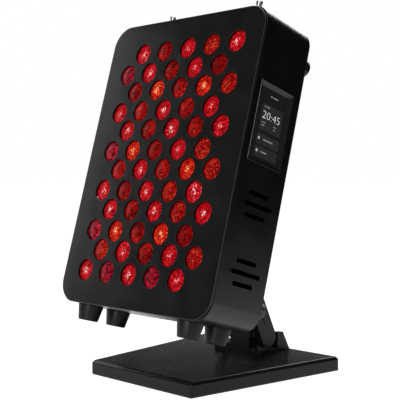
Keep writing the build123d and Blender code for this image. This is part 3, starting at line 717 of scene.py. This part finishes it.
frame_piece = smoothed(bare_piece("window_frame", window_frame(), window_place, satin_abs), sharp=30.0)
mounted(frame_piece, "panel", "black_plastic", "display_bezel")
glass_outline = box_outline(glass_width, glass_height, glass_corner, steps=3)
glass_bm = slab(glass_outline, rounded_rim(-window_sink - glass_sheet, -window_sink, glass_edge, steps=2))
glass = smoothed(bare_piece("cover_glass_sheet", glass_bm, window_place, cover_glass))
mounted(glass, "panel", "screen_glass", "display_glass")


def marks(name, shapes, level, finish):
    """Flat marks on the screen: (across, up, width, height, corner)."""
    low = -window_sink + level
    parts = [(bar(box_outline(w, h, corner, x, y, steps=5), low, low + mark_height), Matrix())
             for x, y, w, h, corner in shapes]
    piece = bare_piece(name, joined(*parts), window_place, finish)
    mounted(piece, "panel", "screen_glass")


# Rounded cards, short bars and two round buttons
cards = [(1.3, 6.4, 31.0, 25.0, 1.6), (1.6, -14.6, 32.6, 10.2, 1.6), (1.6, -26.4, 32.6, 9.8, 1.6)]
short_bars = [
    (-3.9, 27.4, 3.6, 1.2, 0.5), (2.2, 27.4, 6.6, 1.2, 0.5),
    (-10.6, 16.3, 1.4, 1.4, 0.6), (-6.0, 16.3, 5.2, 1.0, 0.4),
    (-8.8, 1.2, 6.0, 0.9, 0.4), (-9.4, -1.6, 4.6, 1.1, 0.4),
    (7.8, 1.2, 4.2, 0.9, 0.4), (7.4, -1.6, 2.8, 1.1, 0.4),
    (1.8, -14.2, 13.6, 1.3, 0.5), (-1.6, -26.0, 9.0, 1.3, 0.5),
]
buttons = [(-11.4, -14.2, 2.8, 2.8, 1.38), (-11.2, -26.0, 2.9, 2.9, 1.42)]
marks("screen_cards", cards, card_level, screen_card)
marks("screen_lines", short_bars, bar_level, screen_text)
marks("screen_buttons", buttons, bar_level, screen_dots)


def screen_time():
    """The time left, in plain digits."""
    digits = bpy.data.curves.new("time_digits", "FONT")
    digits.body = "20:45"
    digits.size = 12.6
    digits.extrude = mark_height
    digits.offset = -0.3
    digits.align_x = "CENTER"
    digits.align_y = "CENTER"
    digits.resolution_u = 3
    holder = bpy.data.objects.new("time_holder", digits)
    scene.collection.objects.link(holder)
    depsgraph = bpy.context.evaluated_depsgraph_get()
    mesh = bpy.data.meshes.new_from_object(holder.evaluated_get(depsgraph), depsgraph=depsgraph)
    bpy.data.objects.remove(holder)
    xs = [v.co.x for v in mesh.vertices]
    ys = [v.co.y for v in mesh.vertices]
    fit = Matrix.Diagonal((time_width / (max(xs) - min(xs)), time_height / (max(ys) - min(ys)), 1.0, 1.0))
    centred = move(-(max(xs) + min(xs)) / 2, -(max(ys) + min(ys)) / 2, 0)
    on_screen = window_place @ move(*time_middle, -window_sink + time_level)
    mesh.transform(Matrix.Scale(mm, 4) @ on_screen @ fit @ centred)
    mesh.materials.clear()
    mesh.materials.append(screen_digits)
    piece = bpy.data.objects.new("screen_time", mesh)
    scene.collection.objects.link(piece)
    mounted(piece, "panel", "screen_glass")


screen_time()


# Rubber feet under the case and bumpers on its back, drawn outwards from the case
def foot_shape():
    """A cone with a rounded end."""
    base, shoulder, end = 12.9, 10.1, 9.2
    shoulder_height, height, rounding = 15.2, 16.0, 0.8
    return turned(softened(
        [(0, 0), (base, 0), (shoulder, shoulder_height), (end, height), (0, height)], rounding))


def bumper_shape():
    """A cone with a rounded end and the dimple of its screw."""
    base, shoulder, end = 11.5, 9.2, 8.0
    shoulder_height, height, rounding = 14.2, 15.0, 0.9
    dimple, dimple_floor, dimple_height = 3.4, 2.9, 13.4
    return turned(softened([
        (0, 0), (base, 0), (shoulder, shoulder_height), (end, height),
        (dimple, height), (dimple_floor, dimple_height), (0, dimple_height)], rounding))


underside = panel_place @ move(0, -panel_height / 2, -panel_depth / 2) @ turn(90, "X")
foot_places = [(x * case_foot_x, y * case_foot_z) for x in sides for y in sides]
feet = copied("case_feet", foot_shape(), foot_places, underside, moulded_rubber)
mounted(feet, "panel", "foot_rubber", "bottom_feet")
bumper_places = [(side * bumper_x, y) for side in sides for y in bumper_heights]
bumpers = copied("back_bumpers", bumper_shape(), bumper_places, on_back(0, 0), moulded_rubber)
mounted(bumpers, "panel", "foot_rubber", "rear_bumpers")


# Bright studs on the top
def stud_shape():
    """A shank through the wall, with a collar on the case and a small head."""
    shank, collar, head = 2.9, 6.0, 3.7
    buried, collar_height, head_low, height, rounding = 7.0, 1.8, 19.5, 22.5, 0.35
    return turned(softened([
        (0, -buried), (shank, -buried), (shank, 0), (collar, 0), (collar, collar_height),
        (shank, collar_height), (shank, head_low), (head, head_low), (head, height), (0, height)], rounding))


top_side = panel_place @ move(0, panel_height / 2, -panel_depth / 2) @ turn(-90, "X")
stud_places = [(side * stud_x, 0) for side in sides]
studs = copied("bright_studs", stud_shape(), stud_places, top_side, turned_steel)
mounted(studs, "panel", "bright_steel", "hanging_studs")


# Screws with a hexagon socket
def socket_screw(shank, head, height, length):
    """A plain shank and a rounded head whose socket goes two thirds of the way down."""
    steps, rounding = 24, 0.25
    shoulder_share, crown_share, mouth_share, socket_share = 0.55, 0.72, 0.46, 0.4
    floor_share, point_share = 0.35, 0.3
    profile = softened([
        (0, -length), (shank, -length), (shank, 0), (head, 0), (head, height * shoulder_share),
        (head * crown_share, height), (head * mouth_share, height)], rounding, steps=2)
    sixth = math.pi / 3
    hexagon = []
    for i in range(steps):
        angle = 2 * math.pi * i / steps
        from_flat = (angle + sixth / 2) % sixth - sixth / 2
        reach = head * socket_share * math.cos(sixth / 2) / math.cos(from_flat)
        hexagon.append((reach * math.cos(angle), reach * math.sin(angle)))
    rings = turned_rings(profile, steps)
    rings += [[(x, y, z) for x, y in hexagon] for z in (height, height * floor_share)]
    rings.append([(0, 0, height * point_share)])
    return skinned(rings)


post_places = [(side * x, y) for side in sides for x, y in post_spots]
fan_screw_places = [
    (side * fan_x + x * fan_screw_reach, fan_rise + y * fan_screw_reach)
    for side in sides for x in sides for y in sides
]
bracket_screw_places = [(x * bracket_screw_x, y * bracket_screw_y) for x in sides for y in sides]
seat_screw_places = [(side * seat_screw_x, y) for side in sides for y in seat_screw_ys]
on_bracket = on_back(0, -bracket_drop) @ move(0, 0, bracket_sheet)
on_seat = move(0, 0, plate_high + seat_flange)
small_screw = {"shank": 1.5, "head": 2.9, "height": 1.6, "length": 8.0}
large_screw = {"shank": 2.4, "head": 4.4, "height": 2.2, "length": 8.0}
for name, size, points, place, body, node in [
    ("cover_screws", small_screw, post_places, on_back(0, 0), "panel", "back_screws"),
    ("fan_fixing_screws", small_screw, fan_screw_places, on_back(0, 0), "panel", "fan_screws"),
    ("bracket_fixing_screws", large_screw, bracket_screw_places, on_bracket, "panel", "bracket_screws"),
    ("seat_fixing_screws", large_screw, seat_screw_places, on_seat, "stand_foot", "seat_screws"),
]:
    screws = copied(name, socket_screw(**size), points, place, blackened_steel, largest_turn=1.0, seed=5)
    mounted(screws, body, "dark_steel", node)

# Foot of the stand, wider at the back, with bevelled top edges: (down or up from its face, inset)
plate_lower_edge = ((0.0, 0.6), (0.2, 0.2), (0.6, 0.0))
plate_upper_edge = ((3.1, 0.0), (2.65, 0.12), (2.2, 0.45), (0.55, 2.1), (0.2, 2.5), (0.0, 3.2))
plate_points = [
    (-plate_front / 2, -plate_length / 2), (plate_front / 2, -plate_length / 2),
    (plate_back / 2, plate_length / 2), (-plate_back / 2, plate_length / 2),
]
plate_levels = [(plate_low + up, inset) for up, inset in plate_lower_edge]
plate_levels += [(plate_high - down, inset) for down, inset in plate_upper_edge]
plate_bm = slab(rounded_polygon(plate_points, plate_corner), plate_levels)
plate = smoothed(bare_piece("foot_slab", plate_bm, Matrix(), plate_coat))
mounted(plate, "stand_foot", "powder_black", "base_plate")

# Arms: tapered bars with a fine groove down the outside
for side, name, node in ((1, "right_bar", "arm_right"), (-1, "left_bar", "arm_left")):
    arm_side = arm_place @ turn(90 * side, "Y")
    arm_outline = tapered_outline(arm_length, arm_lower_width / 2, arm_upper_width / 2)
    arm_bm = slab(arm_outline, rounded_rim(arm_inside, arm_outside, arm_rim, steps=4))
    groove_outline = box_outline(groove_width, groove_length, groove_corner, 0.0, arm_length / 2, steps=3)
    groove = bar(groove_outline, arm_outside - groove_depth, arm_outside + groove_cut_reach)
    arm = cut_out(bare_piece(name, arm_bm, arm_side, cast_enamel), groove, arm_side)
    mounted(smoothed(arm), "arm", "cast_black", node)

# Nodes of the frame that keep their own shape
kept = {
    "base_mat": moulded_rubber, "hinge_seat": cast_enamel, "panel_bracket": powder_coat,
    "arm_ties": blackened_steel, "lower_pivot": blackened_steel, "upper_pivot": blackened_steel,
    "lower_friction_stacks": blackened_steel, "upper_friction_stacks": blackened_steel,
    "stud_nuts": zinc_plate, "housing_posts": zinc_plate, "board_standoffs": zinc_plate,
    "led_board": lamp_board_mask, "led_chips": phosphor, "heat_sink": black_anodised,
    "power_supply": mill_aluminium, "control_board": control_board_mask,
    "control_spacers": moulded_abs, "display_module": moulded_abs, "display_ribbon": amber_film,
    "fan_frames": moulded_abs, "fan_rotor_left": moulded_abs, "fan_rotor_right": moulded_abs,
    "power_inlet": moulded_abs, "inlet_pins": nickel_brass, "switch_frame": moulded_abs,
    "switch_rocker": polished_abs,
}
for name, finish in kept.items():
    piece = nodes[name]
    if not piece.material_slots:
        piece.data.materials.append(finish)
    for material_slot in piece.material_slots:
        material_slot.material = finish


# Floor, backdrop and lights, in metres
def seen_directly(tree):
    """One for rays from the camera, from mirrors and through glass, zero for the light on the object."""
    path = add(tree, "ShaderNodeLightPath").outputs
    mirrored = add(tree, "ShaderNodeMath", {"operation": "MAXIMUM"}, {
        0: path["Is Camera Ray"], 1: path["Is Glossy Ray"]})
    through = add(tree, "ShaderNodeMath", {"operation": "MAXIMUM"}, {
        0: mirrored.outputs[0], 1: path["Is Transmission Ray"]})
    return through.outputs[0]


def white_floor():
    """White floor that keeps the object's shadow faintly."""
    finish, tree = new_finish("white_floor")
    dull = add(tree, "ShaderNodeBsdfDiffuse", links={"Color": colour("DCDCDC")})
    faint = add(tree, "ShaderNodeBsdfDiffuse", links={"Color": colour("A0A0A0")})
    lit = add(tree, "ShaderNodeEmission", links={"Color": colour("FFFFFF"), "Strength": 0.88})
    both = add(tree, "ShaderNodeAddShader", links={0: faint.outputs[0], 1: lit.outputs[0]})
    shown = add(tree, "ShaderNodeMixShader", links={
        0: seen_directly(tree), 1: dull.outputs[0], 2: both.outputs[0]})
    add(tree, "ShaderNodeOutputMaterial", links={"Surface": shown.outputs[0]})
    return finish


def cloth_for_flags():
    """Black cloth of the flags that keep the white room out of the case's sheen."""
    finish, tree = new_finish("black_cloth")
    dull = add(tree, "ShaderNodeBsdfDiffuse", links={"Color": colour("0A0A0A")})
    add(tree, "ShaderNodeOutputMaterial", links={"Surface": dull.outputs[0]})
    return finish


def white_room():
    """Soft even light on the object, plain white to the camera and to mirrors."""
    world = bpy.data.worlds.new("studio")
    world.use_nodes = True
    sky = world.node_tree
    sky.nodes.clear()
    soft = add(sky, "ShaderNodeBackground", links={"Color": colour("FFFFFF"), "Strength": 0.45})
    white = add(sky, "ShaderNodeBackground", links={"Color": colour("FFFFFF"), "Strength": 1.0})
    mixed = add(sky, "ShaderNodeMixShader", links={
        0: seen_directly(sky), 1: soft.outputs[0], 2: white.outputs[0]})
    add(sky, "ShaderNodeOutputWorld", links={"Surface": mixed.outputs[0]})
    return world


def stage_sheet(name, corners, finish):
    mesh = bpy.data.meshes.new(name)
    mesh.from_pydata(corners, [], [(0, 1, 2, 3)])
    mesh.materials.append(finish)
    sheet = bpy.data.objects.new(name, mesh)
    scene.collection.objects.link(sheet)
    return sheet


def flag(name, place, aim, width, height):
    """A black flag that only sheen and mirrors see: it shades nothing and the camera looks through it."""
    middle = Vector(place)
    away = (middle - Vector(aim)).normalized()
    side = away.cross(Vector((0, 0, 1))).normalized() * width / 2
    up = side.cross(away).normalized() * height / 2
    corners = [middle - side - up, middle + side - up, middle + side + up, middle - side + up]
    sheet = stage_sheet(name, corners, black_cloth)
    sheet.visible_camera = False
    sheet.visible_diffuse = False
    sheet.visible_shadow = False


def softbox(name, place, aim, width, height, watts, upright=(0.0, 0.0, 1.0)):
    """A soft rectangular light, turned so that its height runs along the upright."""
    light = bpy.data.lights.new(name, "AREA")
    light.shape = "RECTANGLE"
    light.size = width
    light.size_y = height
    light.energy = watts
    back = (Vector(place) - Vector(aim)).normalized()
    side = Vector(upright).cross(back).normalized()
    holder = bpy.data.objects.new(name, light)
    holder.location = place
    holder.rotation_mode = "QUATERNION"
    holder.rotation_quaternion = Matrix((side, back.cross(side), back)).transposed().to_quaternion()
    holder.visible_camera = False
    scene.collection.objects.link(holder)


black_cloth = cloth_for_flags()
reach = 60.0
floor_corners = [(-reach, -reach, 0), (reach, -reach, 0), (reach, reach, 0), (-reach, reach, 0)]
stage_sheet("studio_floor", floor_corners, white_floor())
scene.world = white_room()

# A strip along the face for its soft gradient, and lights for the edges, the frame's lip and the top
lean = math.radians(panel_lean)
face_upright = (0.0, math.sin(lean), math.cos(lean))
softbox("left_softbox", (-0.44, -0.18, 0.32), (-0.107, -0.07, 0.22), 0.10, 0.5, 0.58, face_upright)
softbox("edge_softbox", (0.35, -1.0, 0.35), (0.05, 0.0, 0.2), 0.15, 0.6, 4.5)
softbox("lip_softbox", (0.465, -1.0, 0.89), (0.108, -0.03, 0.26), 0.1, 0.25, 1.6)
softbox("rim_softbox", (-0.12, 0.80, 0.25), (0.05, 0.0, 0.2), 0.2, 0.5, 1.6)
softbox("back_softbox", (-0.3, 1.0, 0.8), (0.0, 0.0, 0.2), 0.5, 0.5, 3.0)
softbox("overhead_softbox", (0.0, 0.2, 1.2), (0.0, 0.0, 0.2), 0.8, 0.8, 6.0, (0.0, 1.0, 0.0))
flag("right_flag", (0.42, 0.42, 0.67), (0.1, 0.1, 0.67), 1.4, 1.3)
flag("back_flag", (-0.45, 0.55, 0.26), (0.0, 0.0, 0.26), 1.6, 0.34)
flag("room_flag", (1.0, -1.05, 0.6), (0.0, 0.0, 0.5), 1.8, 1.1)
flag("front_flag", (-0.65, -0.60, 0.58), (0.0, 0.0, 0.2), 1.5, 1.2)

# Camera at the photograph's viewing angle, in metres and degrees
eye_place, eye_yaw, eye_pitch = (0.635, -0.655, 0.2015), 44.61, 1.51
eye = bpy.data.cameras.new("eye")
eye.lens = 79.2
eye.sensor_width = 36.0
eye.sensor_fit = "HORIZONTAL"
camera = bpy.data.objects.new("eye", eye)
camera.location = eye_place
yaw, pitch = math.radians(eye_yaw), math.radians(eye_pitch)
look = Vector((-math.sin(yaw) * math.cos(pitch), math.cos(yaw) * math.cos(pitch), -math.sin(pitch)))
camera.rotation_mode = "QUATERNION"
camera.rotation_quaternion = look.to_track_quat("-Z", "Y")
scene.collection.objects.link(camera)
scene.camera = camera
scene.view_settings.view_transform = "Standard"
